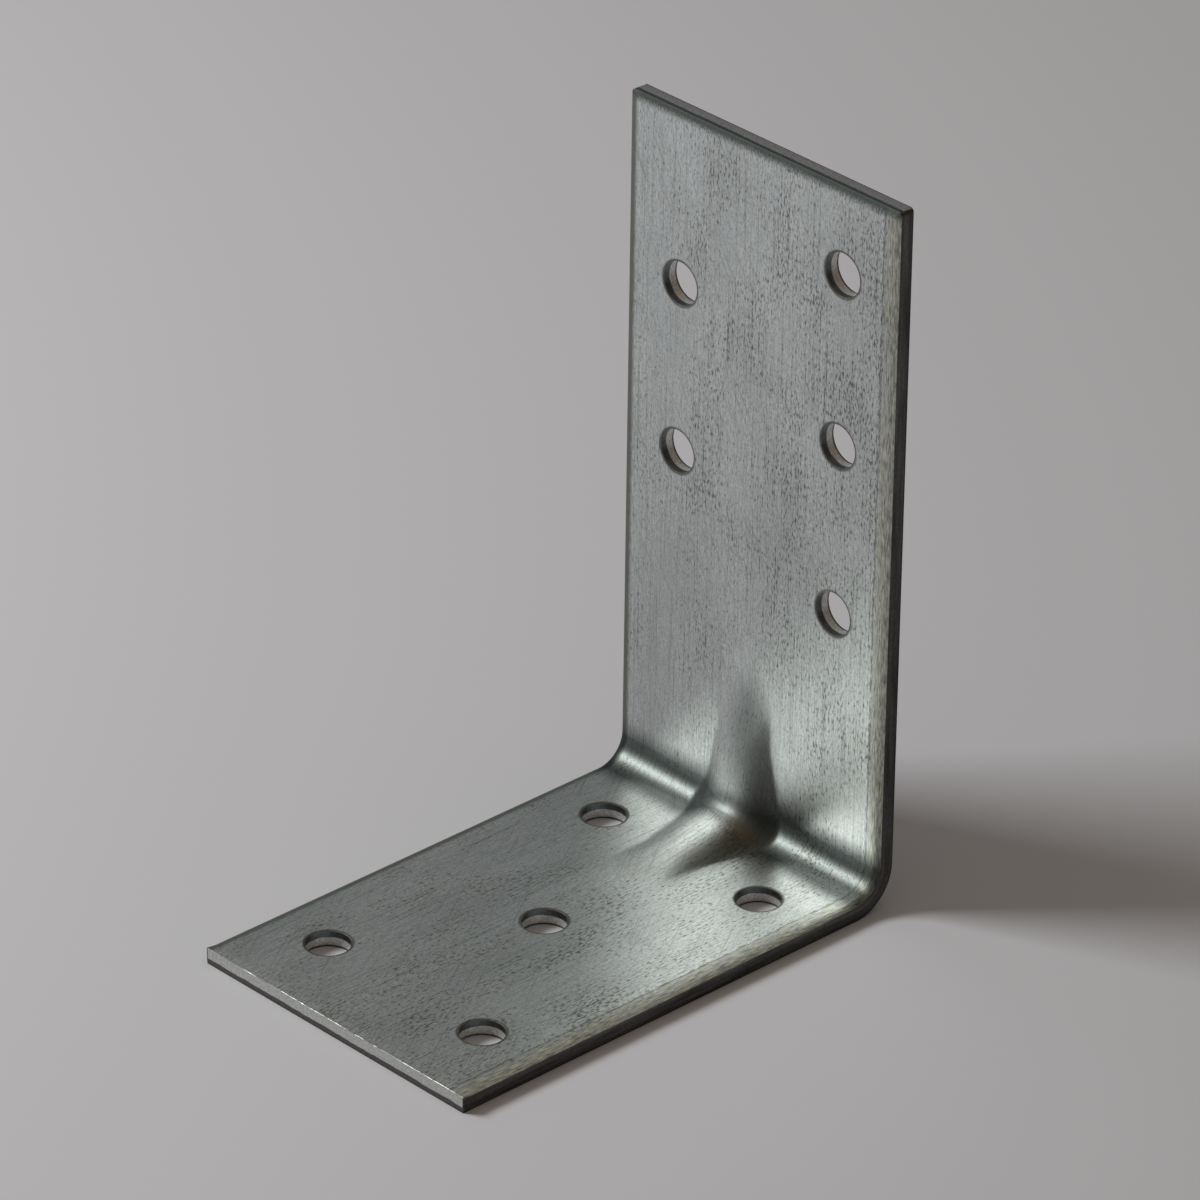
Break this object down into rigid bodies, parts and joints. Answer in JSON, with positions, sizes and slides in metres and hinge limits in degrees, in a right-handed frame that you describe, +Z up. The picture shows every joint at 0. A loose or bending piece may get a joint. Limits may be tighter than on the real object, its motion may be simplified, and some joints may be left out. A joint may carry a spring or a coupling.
{
  "type": "angle bracket",
  "caption": "L-shaped galvanised steel bracket with punched nail holes and a rib pressed across its fold, for joining timber at a right angle.",
  "frame": {"origin": "middle of the bracket's box, on the underside of its base leg", "axes": "+Z up along the upright leg, +Y towards the upright's back face, +X across the strip to the right when the inside of the angle is seen from the front"},
  "size_m": [0.04, 0.062, 0.083],
  "materials": {
    "galvanised_steel": "galvanised, satin"
  },
  "bodies": {
    "root": {"angle_bracket": "galvanised_steel"}
  },
  "joints": []
}
